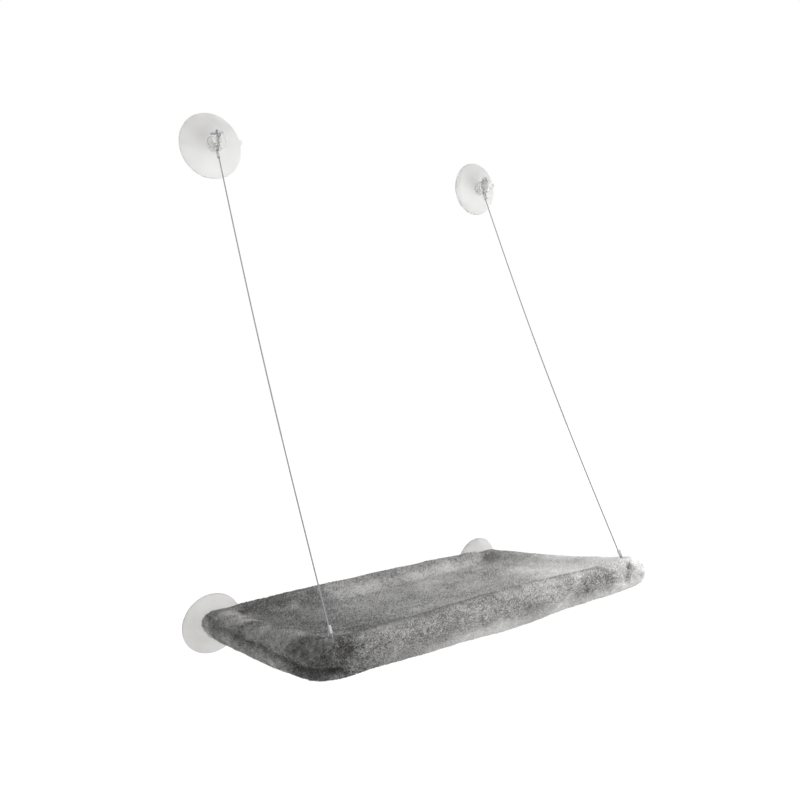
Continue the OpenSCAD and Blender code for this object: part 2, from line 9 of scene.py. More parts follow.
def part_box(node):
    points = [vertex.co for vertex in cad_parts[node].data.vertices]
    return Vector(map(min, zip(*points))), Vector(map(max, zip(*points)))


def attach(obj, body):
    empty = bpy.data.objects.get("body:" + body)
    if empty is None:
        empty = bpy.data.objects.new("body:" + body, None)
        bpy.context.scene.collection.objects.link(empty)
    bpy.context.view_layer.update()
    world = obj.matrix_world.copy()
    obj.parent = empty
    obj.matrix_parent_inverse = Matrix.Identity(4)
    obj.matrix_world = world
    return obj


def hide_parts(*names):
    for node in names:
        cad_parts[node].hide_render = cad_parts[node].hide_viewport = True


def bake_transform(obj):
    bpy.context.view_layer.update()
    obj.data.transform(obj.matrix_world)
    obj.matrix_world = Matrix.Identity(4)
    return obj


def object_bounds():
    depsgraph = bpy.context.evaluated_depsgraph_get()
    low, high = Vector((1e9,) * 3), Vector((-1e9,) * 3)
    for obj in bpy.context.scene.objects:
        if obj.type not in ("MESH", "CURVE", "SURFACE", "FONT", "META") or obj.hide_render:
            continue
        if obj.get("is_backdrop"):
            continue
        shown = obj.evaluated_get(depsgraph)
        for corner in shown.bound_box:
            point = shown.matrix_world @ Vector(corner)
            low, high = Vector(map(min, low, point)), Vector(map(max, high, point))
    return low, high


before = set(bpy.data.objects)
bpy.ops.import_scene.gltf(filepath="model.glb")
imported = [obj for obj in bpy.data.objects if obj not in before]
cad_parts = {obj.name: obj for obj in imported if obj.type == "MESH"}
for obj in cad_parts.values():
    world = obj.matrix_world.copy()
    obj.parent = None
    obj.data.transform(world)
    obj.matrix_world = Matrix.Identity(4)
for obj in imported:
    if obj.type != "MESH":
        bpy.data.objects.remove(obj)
cad_box = [list(corner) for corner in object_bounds()]
scene = bpy.context.scene

# Camera: it stands to the left of the bed and a little above it, as in the photograph. Lens, place
# and turn were fitted to the cups, the cables and the bed's outline.
camera_data = bpy.data.cameras.new("photo_camera")
camera_data.sensor_width = 36.0
camera_data.lens = 31.59
camera = bpy.data.objects.new("photo_camera", camera_data)
camera.location = (-0.6058, -0.9875, 0.4134)
camera.rotation_euler = (radians(85.35), 0.0, radians(-34.82))
scene.collection.objects.link(camera)
scene.camera = camera

# Cables: wire rope of six strands round a core, galvanised, with a loop pressed into each end.
# The upper loop goes up through the cup's nub and over its toggle pin, and the lower one round
# the anchor pin inside the bed's front corner.
MM = 0.001
MIRROR = np.array([-1.0, 1.0, 1.0])
SIDES = (("right", 1), ("left", MIRROR))
cable_r = 0.9 * MM
strand_gap = 1.15 * MM
ferrule_l = 9 * MM


def middle(node):
    low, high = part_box(node)
    return np.array((low + high) / 2)


def unit(v):
    return np.asarray(v, float) / np.linalg.norm(v, axis=-1, keepdims=True)


def across(v, along):
    return unit(np.asarray(v, float) - np.dot(v, along) * along)


toggle_at = middle("right_toggle_pin")
anchor_at = middle("right_anchor_pin")
upper_cup_at = middle("upper_right_cup")
toggle_turn = radians(40)
toggle_side = np.array([-sin(toggle_turn), cos(toggle_turn), 0])
eye_at = np.array([toggle_at[0], toggle_at[1], upper_cup_at[2]])
ferrule_drop = 14 * MM
ferrule_top = eye_at - [0, 0, ferrule_drop]
run_dir = unit(anchor_at - ferrule_top)
upper_pair = across(toggle_side, run_dir)
lower_pair = across([0, 1, 0], run_dir)
lower_ferrule_off = 27 * MM


def rounded_path(points, step):
    """A smooth line through the points, with points along it a step apart."""
    p = np.asarray(points, float)
    ends = np.vstack([2 * p[0] - p[1], p, 2 * p[-1] - p[-2]])
    line = []
    for i in range(len(p) - 1):
        a, b, c, d = ends[i:i + 4]
        count = max(2, int(np.ceil(np.linalg.norm(c - b) / step)))
        for t in np.linspace(0, 1, count, endpoint=False):
            line.append(0.5 * (2 * b + (c - a) * t + (2 * a - 5 * b + 4 * c - d) * t**2
                               + (3 * b - a - 3 * c + d) * t**3))
    return np.array(line + [p[-1]])


def cable_route():
    toggle_loop, anchor_loop = 3.7 * MM, 3.2 * MM
    leg_top, leg_gap = 7.5 * MM, 2.3 * MM
    eye_low, eye_gap = 9 * MM, 1.9 * MM
    cable_bow = 8 * MM
    tail_in = lower_ferrule_off + ferrule_l - MM
    turns = np.radians(np.arange(0, 181, 22.5))
    up = np.array([0, 0, 1])

    def leg(s):
        return [eye_at + leg_top * up + s * leg_gap * toggle_side,
                eye_at - eye_low * up + s * eye_gap * toggle_side,
                ferrule_top + s * strand_gap * upper_pair]

    start = ferrule_top + ferrule_l * run_dir + strand_gap * upper_pair
    end = anchor_at - (lower_ferrule_off + ferrule_l) * run_dir + strand_gap * lower_pair
    return np.array(
        [ferrule_top + (ferrule_l - MM) * run_dir - strand_gap * upper_pair]
        + leg(-1)[::-1]
        + [toggle_at + toggle_loop * (sin(a) * up - cos(a) * toggle_side) for a in turns]
        + leg(1)
        + [start + t * (end - start) + cable_bow * sin(pi * t) * lower_pair for t in np.linspace(0, 1, 15)]
        + [anchor_at - lower_ferrule_off * run_dir + strand_gap * lower_pair]
        + [anchor_at + anchor_loop * (cos(a) * lower_pair + sin(a) * run_dir) for a in turns]
        + [anchor_at - lower_ferrule_off * run_dir - strand_gap * lower_pair,
           anchor_at - tail_in * run_dir - strand_gap * lower_pair])


def new_piece(name, points, faces, smooth=True):
    mesh = bpy.data.meshes.new(name)
    mesh.from_pydata([tuple(p) for p in points], [], [tuple(int(i) for i in f) for f in faces])
    mesh.polygons.foreach_set("use_smooth", [smooth] * len(mesh.polygons))
    piece = bpy.data.objects.new(name, mesh)
    scene.collection.objects.link(piece)
    return piece


def ring_faces(rows, n, first=0):
    """Four-sided faces between rows of n points, each row closed round."""
    k = np.arange(n)
    return [(first + i * n + a, first + i * n + b, first + (i + 1) * n + b, first + (i + 1) * n + a)
            for i in range(rows - 1) for a, b in zip(k, np.roll(k, -1))]


def closed_tube(rings):
    """Points and faces of a tube through rings of points, with flat ends."""
    n, k = len(rings[0]), np.arange(len(rings[0]))
    ends = [tuple(k[::-1]), tuple((len(rings) - 1) * n + k)]
    return np.vstack(rings), ring_faces(len(rings), n) + ends


def swept(path, ring):
    """A closed tube along a path: ring(along) gives its section, two numbers a point."""
    path = np.asarray(path, float)
    way = unit(np.gradient(path, axis=0))
    along = np.concatenate([[0], np.cumsum(np.linalg.norm(np.diff(path, axis=0), axis=1))])
    side = across([0.3, 0.2, 0.9] if abs(way[0][2]) < 0.9 else [1, 0, 0], way[0])
    rings = []
    for at, ahead, gone in zip(path, way, along):
        side = across(side, ahead)
        section = np.asarray(ring(gone))
        rings.append(at + section[:, :1] * side + section[:, 1:] * np.cross(ahead, side))
    return closed_tube(rings)


def strands(along):
    lay_length, lobes, depth = 11 * MM, 6, 0.09
    turn = np.linspace(0, 2 * pi, 24, endpoint=False)
    r = cable_r * (1 - depth + depth * np.cos(lobes * (turn - 2 * pi * along / lay_length)))
    return np.column_stack([r * np.cos(turn), r * np.sin(turn)])


def to_linear(colour):
    """Linear colour of an sRGB hex one."""
    srgb = [int(colour[i:i + 2], 16) / 255 for i in (1, 3, 5)]
    return [v / 12.92 if v <= 0.04045 else ((v + 0.055) / 1.055) ** 2.4 for v in srgb] + [1.0]


def new_material(name, **values):
    """A material with values set on its shader, where an underscore stands for a space."""
    material = bpy.data.materials.new(name)
    material.use_nodes = True
    shader = material.node_tree.nodes["Principled BSDF"]
    for key, value in values.items():
        shader.inputs[key.replace("_", " ")].default_value = value
    return material


def add(material, kind, inputs, **settings):
    """Adds a shader node; an input is a value, a hex colour or another node's output."""
    tree = material.node_tree
    node = tree.nodes.new("ShaderNode" + kind)
    for key, value in settings.items():
        setattr(node, key, value)
    for key, value in inputs.items():
        if isinstance(value, bpy.types.NodeSocket):
            tree.links.new(value, node.inputs[key])
        else:
            node.inputs[key].default_value = to_linear(value) if isinstance(value, str) else value
    return node


def feed(material, **sources):
    """Links node outputs to the shader's sockets."""
    shader = material.node_tree.nodes["Principled BSDF"]
    for key, source in sources.items():
        material.node_tree.links.new(source, shader.inputs[key.replace("_", " ")])


def mottled(material, dark, pale, grain, detail, dent=None):
    """Cloudy tone between two colours, its grain in metres, with dents of a strength and a depth."""
    place = add(material, "TexCoord", {}).outputs["Object"]
    clouds = add(material, "TexNoise", {"Vector": place, "Scale": 1 / grain, "Detail": detail})
    tone = add(material, "Mix", {0: clouds.outputs["Fac"], 6: dark, 7: pale}, data_type="RGBA")
    feed(material, Base_Color=tone.outputs[2])
    if dent:
        dents = add(material, "Bump",
                    {"Height": clouds.outputs["Fac"], "Strength": dent[0], "Distance": dent[1]})
        feed(material, Normal=dents.outputs[0])


# Galvanised wire: bright zinc gone a little dull, with darker oil in the lay.
galvanised_wire = new_material("galvanised_wire", Metallic=1.0, Roughness=0.38)
mottled(galvanised_wire, "#787a7d", "#bcbec1", grain=1.111 * MM, detail=3.0)

route = cable_route()
for side, flip in SIDES:
    path = rounded_path(route * flip, 1.4 * MM)
    cable = new_piece(f"{side}_wire_cable", *swept(path, strands))
    length = np.linalg.norm(np.diff(path, axis=0), axis=1).sum()
    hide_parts(f"{side}_cable")
    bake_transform(cable)
    cable.data.materials.append(galvanised_wire)

# Ferrules: oval aluminium sleeves over the cable's two strands, pressed in three bands by the
# crimping tool. The upper pair hangs under the cups and the lower pair stands above the bed.
# Crimped aluminium: pale and satin, with marks from the tool.
crimped_aluminium = new_material("crimped_aluminium", Metallic=1.0, Roughness=0.42)
mottled(crimped_aluminium, "#b2b4b6", "#eceded", grain=0.8333 * MM, detail=4.0, dent=(0.25, 0.1 * MM))


def ferrule_mesh(top, pair):
    half_w, half_t = strand_gap + 1.85 * MM, 1.85 * MM
    edge_r, end_share = 0.4 * MM, 0.86
    band_pitch, band_reach, band_in, band_out = 2.6 * MM, 3.3 * MM, 0.3 * MM, 0.12 * MM
    along = np.concatenate([[0, 0.12, 0.4], np.linspace(0.9, 8.1, 25), [8.6, 8.88, 9]]) * MM
    turn = np.linspace(0, 2 * pi, 40, endpoint=False)
    oval = np.sign(np.cos(turn)) * np.abs(np.cos(turn)) ** 0.72
    depth = np.cross(run_dir, pair)
    rings = []
    for a in along:
        end = min(1, min(a, ferrule_l - a) / edge_r)
        round_off = end_share + (1 - end_share) * (1 - (1 - end) ** 2) ** 0.5
        off = a - ferrule_l / 2
        band = max(0, cos(2 * pi * off / band_pitch)) if abs(off) < band_reach else 0
        w, t = (half_w + band_out * band) * round_off, (half_t - band_in * band) * round_off
        rings.append(top + a * run_dir + (oval * w)[:, None] * pair + (np.sin(turn) * t)[:, None] * depth)
    return closed_tube(rings)


def outwards(piece):
    """Turns all faces outwards and keeps edges sharper than 35 degrees crisp."""
    form = bmesh.new()
    form.from_mesh(piece.data)
    bmesh.ops.recalc_face_normals(form, faces=form.faces)
    for edge in form.edges:
        edge.smooth = edge.calc_face_angle(0) < radians(35)
    for face in form.faces:
        face.smooth = True
    form.to_mesh(piece.data)
    form.free()


def fit(piece, material, slot, body, *nodes):
    """Gives a finished piece its material, hides the parts it stands for and hangs it on the body it rides
    on.
    """
    piece.data.materials.append(material)
    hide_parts(*nodes)
    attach(piece, body)


lower_top = anchor_at - (lower_ferrule_off + ferrule_l) * run_dir
for side, flip in SIDES:
    for level, body, top, pair in (("upper", "window_side", ferrule_top, upper_pair),
                                   ("lower", "bed", lower_top, lower_pair)):
        points, faces = ferrule_mesh(top, pair)
        ferrule = new_piece(f"{level}_{side}_crimp", points * flip, faces)
        outwards(ferrule)
        fit(ferrule, crimped_aluminium, "ferrule_metal", body, f"{level}_{side}_ferrule")

# Toggle pins: short bars of zinc-plated steel that lie in the saddle of each upper nub and keep
# the cable's loop from slipping back through its hole. They are cut from rod and tumbled.
# Zinc plate: cool grey with a faint violet cast and long fine scratches.
zinc_plate = new_material("zinc_plate", Metallic=1.0)
place = add(zinc_plate, "TexCoord", {}).outputs["Object"]
drawn = add(zinc_plate, "Mapping",
            {"Vector": place, "Scale": [1 / (size * MM) for size in (3.333, 0.6667, 0.6667)]})
scratch = add(zinc_plate, "TexNoise", {"Vector": drawn.outputs[0], "Scale": 1.0, "Detail": 3.0})
tone = add(zinc_plate, "Mix", {0: scratch.outputs["Fac"], 6: "#c0c0ca", 7: "#e2e2ea"}, data_type="RGBA")
worn = add(zinc_plate, "MapRange", {"Value": scratch.outputs["Fac"], "To Min": 0.36, "To Max": 0.54})
feed(zinc_plate, Base_Color=tone.outputs[2], Roughness=worn.outputs[0])


def lathe(profile, steps):
    """Points and faces of a turned form about Z: profile rows are radius and height, from the
    axis at one end to the axis at the other."""
    turn = np.linspace(0, 2 * pi, steps, endpoint=False)
    rings = [np.column_stack([r * np.cos(turn), r * np.sin(turn), np.full(steps, h)])
             for r, h in profile[1:-1]]
    points = np.vstack([[0, 0, profile[0][1]], *rings, [0, 0, profile[-1][1]]])
    k = np.arange(steps)
    pairs = list(zip(k, np.roll(k, -1)))
    tip = len(points) - 1
    return points, ([(0, 1 + b, 1 + a) for a, b in pairs] + ring_faces(len(rings), steps, 1)
                    + [(tip, tip - steps + a, tip - steps + b) for a, b in pairs])


half_bar = [(0, 9.0), (1.7, 9.0), (2.1, 8.9), (2.38, 8.62), (2.5, 8.2), (2.5, 7.0), (2.42, 6.8), (2.42, 6.4),
            (2.5, 6.2), (2.5, 3.0), (2.44, 0.6)]
bar = [(r, -h) for r, h in half_bar] + half_bar[::-1]
bar_points, bar_faces = lathe(np.array(bar) * MM, 48)
bar_axis = [cos(toggle_turn), sin(toggle_turn), 0]
bar_points = toggle_at + bar_points @ np.array([toggle_side, [0, 0, 1], bar_axis])
for side, flip in SIDES:
    pin = new_piece(f"{side}_toggle_bar", bar_points * flip, bar_faces)
    outwards(pin)
    fit(pin, zinc_plate, "steel_pin", "window_side", f"{side}_toggle_pin")

# Suction cups: moulded in one shot of clear soft PVC, with a thin sealing lip, a pull tab, a
# hollow that holds the vacuum and a stout nub with a cross hole and a flat saddle.
# Soft PVC: see-through but hazed, smoother on the nub, with flow marks from the mould. Its grey is set per
# point by an attribute that holds both the haze and painted shade.
clear_pvc = new_material("clear_pvc", IOR=1.53, Transmission_Weight=0.86, Specular_IOR_Level=0.3)
place = add(clear_pvc, "TexCoord", {}).outputs["Object"]
flow = add(clear_pvc, "TexNoise",
           {"Vector": place, "Scale": 1 / (29.41 * MM), "Detail": 3.0, "Distortion": 0.8})
streak = add(clear_pvc, "MapRange", {"Value": flow.outputs["Fac"], "To Min": -0.3, "To Max": 0.3})
# Painted shade: the per-point attribute greys the haze where the cup is shaded.
haze_and_shade = add(clear_pvc, "Attribute", {}, attribute_name="haze_and_shade").outputs["Fac"]
haze_and_shade = add(clear_pvc, "Math", {0: haze_and_shade, 1: streak.outputs[0]}, use_clamp=True)
shaded_haze = add(clear_pvc, "Mix", {0: haze_and_shade.outputs[0], 6: "#fdfdfc", 7: "#c8c7c4"}, data_type="RGBA")
depth = add(clear_pvc, "SeparateXYZ", {"Vector": place}).outputs["Y"]
polish = add(clear_pvc, "MapRange",
             {"Value": depth, "From Min": -20 * MM, "From Max": -12 * MM, "To Min": 0.15, "To Max": 0.36})
matt = add(clear_pvc, "Math",
           {0: flow.outputs["Fac"], 1: 0.12, 2: polish.outputs[0]}, operation="MULTIPLY_ADD")
skin = add(clear_pvc, "TexNoise", {"Vector": place, "Scale": 1 / (2.381 * MM), "Detail": 2.0})
ripple = add(clear_pvc, "Bump", {"Height": skin.outputs["Fac"], "Strength": 0.05, "Distance": 0.3 * MM})
feed(clear_pvc, Base_Color=shaded_haze.outputs[2], Roughness=matt.outputs[0], Normal=ripple.outputs[0])

# Sizes in millimetres: radii of the lip, the hollow, the nub's foot and the nub; thickness of the
# lip, heights of the dome and the nub; height of the cross hole and radius of the tab.
CUP_R, HOLLOW_R, ROOT_R, NUB_R = 45, 34, 17, 11
LIP_T, DOME_H, NUB_H = 1.2, 12.8, 38
hole_at, tab_r = 27, 4


def cup_dome(r):
    return LIP_T + DOME_H * (1 - np.clip((r - NUB_R) / (CUP_R - NUB_R), 0, 1) ** 1.4)


def cup_mesh(tab_turn):
    hollow = [(r, 6 * (1 - (r / HOLLOW_R) ** 2)) for r in np.linspace(0, HOLLOW_R, 13)]
    seal = [(37, 0.0), (41, 0.0), (44.3, 0.0)]
    rim = [(44.8, 0.2), (CUP_R, 0.6), (44.85, 1.05), (44.4, 1.4), (43.6, cup_dome(43.6))]
    dome = [(r, cup_dome(r)) for r in np.linspace(42.4, ROOT_R, 22)]
    root = [(ROOT_R - 6 * sin(a), cup_dome(ROOT_R) + 5.6 * (1 - cos(a)))
            for a in np.radians(np.arange(10, 91, 10))]
    nub = [(NUB_R, h) for h in (20, 23, 26, 29, 32)]
    crown = [(NUB_R - 3 * (1 - cos(a)), NUB_H - 3 * (1 - sin(a)))
             for a in np.radians(np.arange(0, 91, 11.25))]
    gate = [(5, NUB_H), (2.6, 37.9), (2.2, 37.5), (1, 37.4), (0, 37.4)]
    points, faces = lathe(hollow + seal + rim + dome + root + nub + crown + gate, 180)
    r, turn = np.hypot(points[:, 0], points[:, 1]), np.arctan2(points[:, 1], points[:, 0])
    off_tab = np.angle(np.exp(1j * (turn - tab_turn)))
    tab = np.sqrt(np.clip(tab_r ** 2 - (CUP_R * off_tab) ** 2, 0, None)) * (r > CUP_R - 1)
    points[:, 0] += tab * np.cos(turn)
    points[:, 1] += tab * np.sin(turn)
    return points * MM, faces


def apply(piece, kind, **settings):
    """Adds a modifier with its settings and applies it."""
    bpy.context.view_layer.objects.active = piece
    modifier = piece.modifiers.new(kind.lower(), kind)
    for key, value in settings.items():
        setattr(modifier, key, value)
    bpy.ops.object.modifier_apply(modifier=modifier.name)


def cut(piece, points, faces):
    """Takes a closed form out of a piece."""
    tool = new_piece("cutter", points, faces)
    outwards(tool)
    apply(piece, "BOOLEAN", object=tool, solver="EXACT")
    bpy.data.objects.remove(tool)


hole = [(0, -14), (3.5, -14), (3.5, 7.5), (4.0, 8.5), (4.6, 9.6), (4.6, 14), (0, 14)]
hole_points, hole_faces = lathe(np.array(hole) * MM, 48)
hole_points = np.column_stack([hole_points[:, 0], hole_points[:, 2], hole_at * MM - hole_points[:, 1]])
saddle_points = MM * np.array([(x, y, z) for x in (-13, 13) for y in (9.5, 14) for z in (18.8, 45)])
saddle_faces = [(0, 1, 3, 2), (4, 6, 7, 5), (0, 4, 5, 1), (2, 3, 7, 6), (0, 2, 6, 4), (1, 5, 7, 3)]
lower_cup_x = middle("right_hinge_pin")[0]
# Haze and painted shade of each cup: its level, haze together with painted shade that makes the lower cups
# greyer than the upper ones; its rise to the right and upwards over one radius, a painted shade gradient for
# the way light falls on it; and its painted shadow, a soft dark spot left of and above the nub on the upper
# cups and round the nub on the lower ones.
haze_and_shade_of = {"upper_left_cup": (0.24, (-0.1, 0.3), 0.3), "upper_right_cup": (0.12, (0.1, 0.3), 0.42),
           "lower_left_cup": (0.62, (-0.05, 0.0), 0.3), "lower_right_cup": (0.62, (-0.05, 0.0), 0.3)}
for name, (level, rise, painted_shadow) in haze_and_shade_of.items():
    upper = "upper" in name
    sign = -1 if "left" in name else 1
    cup = new_piece(name.replace("cup", "suction_cup"), *cup_mesh(radians(15 if upper else -90 * sign)))
    outwards(cup)
    cut(cup, saddle_points, saddle_faces)
    cut(cup, hole_points, hole_faces)
    outwards(cup)
    spot, spread = ((-15 * MM, 12 * MM), 15 * MM) if upper else ((0, 0), 28 * MM)
    centre = (sign * toggle_at[0], upper_cup_at[2]) if upper else (sign * lower_cup_x, 0)
    # Each point's haze and painted shade: the cup's level, a painted shade gradient and a painted shadow by
    # the nub.
    haze_and_shade = cup.data.attributes.new("haze_and_shade", "FLOAT", "POINT")
    for vertex in cup.data.vertices:
        x, y, z = vertex.co
        right, up = (x, y) if upper else (y, -x)
        vertex.co = (centre[0] + right, -z, centre[1] + up)
        near = np.exp(-((right - spot[0]) ** 2 + (up - spot[1]) ** 2) / spread ** 2)
        slope = (rise[0] * right + rise[1] * up) / (CUP_R * MM)
        haze_and_shade.data[vertex.index].value = level + painted_shadow * near + slope
    fit(cup, clear_pvc, "clear_pvc", "window_side", name)

# Frame: white PVC tubes joined by moulded elbows and forks, with screws from below and steel pins
# on which the bed and the cables turn. All of it is inside the cover apart from the forks' backs.


def dress(material, *names):
    for name in names:
        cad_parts[name].data.materials.clear()
        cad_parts[name].data.materials.append(material)


# White PVC: off-white and half glossy, a little uneven as it left the die.
white_pvc = new_material("white_pvc", Roughness=0.36, IOR=1.53)
mottled(white_pvc, "#dedcd6", "#f0efea", grain=6.25 * MM, detail=3.0, dent=(0.15, 0.2 * MM))
dress(white_pvc, "front_tube", "rear_tube", "left_tube", "right_tube")

# Moulded plastic: off-white ABS with the fine grain of a spark-eroded mould.
grained_abs = new_material("grained_abs", Roughness=0.5, IOR=1.54)
mottled(grained_abs, "#d6d5d0", "#e9e8e3", grain=0.625 * MM, detail=2.0, dent=(0.3, 0.1 * MM))
dress(grained_abs, "front_left_elbow", "front_right_elbow", "rear_left_fork", "rear_right_fork")
dress(zinc_plate, "left_hinge_pin", "right_hinge_pin", "left_anchor_pin", "right_anchor_pin",
      "frame_screws")

# Plush cover: one sewn cover of short grey pile over wadding, drawn round the four tubes as fat
# rolls with the lying sheet hung between them. Its rear corners close over the forks as round
# noses. It is worked out in the bed's own measures (millimetres right, out and up), then laid in.
BED_TILT = radians(13)
HINGE_OUT, FOLD_SPAN = 27.0, (-30, 40)
SIDE_X, BED_DEPTH, CORNER_R = 258.0, 335.0, 25.0


def bed_points(p):
    """Scene points of bed measures: right, out from the hinge line and up from the tubes' plane."""
    x, out, up = np.asarray(p, float).T
    return MM * np.column_stack([x, -HINGE_OUT - out * cos(BED_TILT) + up * sin(BED_TILT),
                                 out * sin(BED_TILT) + up * cos(BED_TILT)])


def smooth_min(a, b, k):
    h = np.clip(0.5 + 0.5 * (b - a) / k, 0, 1)
    return b + (a - b) * h - k * h * (1 - h)


def smooth_max(a, b, k):
    return -smooth_min(-a, -b, k)


def ease(value, low, high):
    t = np.clip((value - low) / (high - low), 0, 1)
    return t * t * (3 - 2 * t)


def cup_room(x, out, up):
    """Distance from the lower cups and the glass, the least of it over the whole fold."""
    follow = ease(out, *FOLD_SPAN)
    room = np.full(np.shape(x), 1e3)
    for fold in np.radians(np.arange(0, 61, 7.5)):
        turn = BED_TILT + follow * fold
        off = HINGE_OUT + out * np.cos(turn) - up * np.sin(turn)
        r = np.hypot(np.abs(x) - SIDE_X, out * np.sin(turn) + up * np.cos(turn))
        nub = np.maximum(r - NUB_R, off - NUB_H)
        dome = np.maximum(off - cup_dome(r), r - (CUP_R + 1))
        room = np.minimum(room, np.minimum(np.minimum(nub, dome), off))
    return room


def edge_off(x, out):
    """Distance outwards from the line of the side and front tubes, round their corners."""
    qx, qy = np.abs(x) - (SIDE_X - CORNER_R), out - (BED_DEPTH - CORNER_R)
    return (np.hypot(np.maximum(qx, 0), np.maximum(qy, 0)) + np.minimum(np.maximum(qx, qy), 0)
            - CORNER_R)


def sheet_sag(x, out):
    half_x, middle_out, half_out, depth = 236, 167.5, 145.5, 18
    return depth * (np.clip(1 - (x / half_x) ** 2, 0, 1)
                    * np.clip(1 - ((out - middle_out) / half_out) ** 2, 0, 1))


def cover_off(x, out, up):
    """Distance from the cover's outer face, negative inside it."""
    tip = ease(x, 190, 270) * ease(out, 240, 330)
    roll_r = 22 + 1.2 * np.sin(out / 41 + x / 57) - 1.5 * tip
    lift = 7 * ease(out, 170, 0) + 3 * ease(out, 60, 0) + 2 * tip
    nose = np.maximum(9 - out, 0)
    girth = np.hypot(edge_off(x - 7 * tip, out), (up - lift) / 0.96)
    rolls = (girth ** 3.5 + nose ** 3.5) ** (1 / 3.5) - roll_r
    rear_top = np.clip(up / (np.hypot(out, up) + 1e-6), 0, 1) ** 1.3
    rear_r = 21.6 + (8.5 - 2 * ease(np.abs(x), 120, 240)) * rear_top
    rear = np.hypot(out, up) - rear_r
    rear = smooth_max(rear, np.abs(x) - 243, 6)
    sheet = np.abs(up - 6.2 + sheet_sag(x, out)) - 3.3
    sheet = np.maximum(sheet, np.maximum(edge_off(x, out) + 6, 6 - out))
    cover = smooth_min(smooth_min(rolls, rear, 7), sheet, 13)
    fork = np.maximum(np.maximum(np.abs(np.abs(x) - SIDE_X) - 16.6, np.abs(up) - 8.6), out - 23)
    cover = smooth_max(cover, -fork, 2)
    return smooth_max(cover, 1.6 - cup_room(x, out, up), 3)


def surface_net(value, low, step):
    """Points and faces of the zero surface of a grid of values, negative inside."""
    corner = np.array(np.meshgrid((0, 1), (0, 1), (0, 1), indexing="ij")).reshape(3, -1).T
    steps = np.eye(3, dtype=int)
    size = np.array(value.shape) - 1
    total, count = np.zeros((*size, 3)), np.zeros(size)

    def at(c):
        return value[c[0]:c[0] + size[0], c[1]:c[1] + size[1], c[2]:c[2] + size[2]]

    for a in corner:
        for axis in np.flatnonzero(a == 0):
            b = a + steps[axis]
            va, vb = at(a), at(b)
            crossed = (va < 0) != (vb < 0)
            t = np.where(crossed, va / np.where(crossed, va - vb, 1), 0)
            total += crossed[..., None] * (a + t[..., None] * (b - a))
            count += crossed
    cells = np.argwhere(count > 0)
    number = np.full(size, -1)
    number[tuple(cells.T)] = np.arange(len(cells))
    points = low + step * (cells + total[count > 0] / count[count > 0][:, None])
    faces = []
    for axis in range(3):
        u, v = steps[axis - 2], steps[axis - 1]
        first = np.take(value, range(size[axis]), axis) < 0
        second = np.take(value, range(1, size[axis] + 1), axis) < 0
        for inside in (True, False):
            e = np.argwhere((first == inside) & (second != inside))
            ring = [number[tuple((e + d).T)] for d in (-u - v, -v, 0 * u, -u)]
            faces.append(np.column_stack(ring[::-1] if inside else ring))
    return points, np.vstack(faces)


grid_step = 5.0
grid_low, grid_high = np.array([-297.5, -42.5, -42.5]), (300, 375, 50)
grid = np.meshgrid(*[np.arange(a, b, grid_step) for a, b in zip(grid_low, grid_high)], indexing="ij")
net, net_faces = surface_net(cover_off(*grid), grid_low, grid_step)
cover = new_piece("plush_cover", bed_points(net), net_faces)


def points_of(piece, part="co"):
    flat = np.empty(3 * len(piece.data.vertices))
    piece.data.vertices.foreach_get(part, flat)
    return flat.reshape(-1, 3)


def set_points(piece, points):
    piece.data.vertices.foreach_set("co", np.ravel(points))
    piece.data.update()


def bed_measures(points):
    x, y, z = np.asarray(points, float).T / MM
    y = -y - HINGE_OUT
    return x, y * cos(BED_TILT) + z * sin(BED_TILT), -y * sin(BED_TILT) + z * cos(BED_TILT)


def puff(piece, held, cap):
    """Blows the piece up as a cloth bag, held at some points, and keeps each move under a cap."""
    frames = 20
    rest = points_of(piece)
    group = piece.vertex_groups.new(name="held")
    group.add([int(i) for i in np.flatnonzero(held)], 1.0, "REPLACE")
    bag = piece.modifiers.new("puff", "CLOTH")
    bag.settings.quality = 3
    bag.settings.mass = 0.3
    bag.settings.use_pressure = True
    bag.settings.uniform_pressure_force = 4.0
    bag.settings.effector_weights.gravity = 0.0
    bag.settings.vertex_group_mass = "held"
    bag.collision_settings.use_collision = False
    bag.point_cache.frame_end = frames
    for step in range(1, frames + 1):
        scene.frame_set(step)
    move = points_of(piece.evaluated_get(bpy.context.evaluated_depsgraph_get())) - rest
    size = np.linalg.norm(move, axis=1)[:, None] + 1e-9
    piece.modifiers.remove(bag)
    piece.vertex_groups.remove(group)
    scene.frame_set(1)
    set_points(piece, rest + move * cap * np.tanh(size / cap) / size)


apply(cover, "SMOOTH", iterations=3, factor=0.5)
x, out, up = bed_measures(points_of(cover))
on_sheet = (edge_off(x, out) < -30) & (out > 30)
near_zip = (np.hypot(out, up) < 28) & (up < 4) & (np.abs(x) < 205)
puff(cover, on_sheet | near_zip | (cup_room(x, out, up) < 9), 4 * MM)
apply(cover, "SUBSURF", levels=1, render_levels=1)


def line_off(p, line):
    """Distance of points from a line through the given points."""
    line = np.asarray(line, float)
    best = np.full(len(p), 1e9)
    for a, b in zip(line[:-1], line[1:]):
        t = np.clip((p - a) @ (b - a) / np.dot(b - a, b - a), 0, 1)
        best = np.minimum(best, np.linalg.norm(p - a - t[:, None] * (b - a), axis=1))
    return best


def cloud(p, size, seed):
    """Soft noise from -1 to 1 at each point; size is its grain in millimetres, one or per axis."""
    return np.array([noise.noise(q) for q in p / size + seed])


def hump(value, peak, width):
    return np.exp(-((value - peak) / width) ** 2)


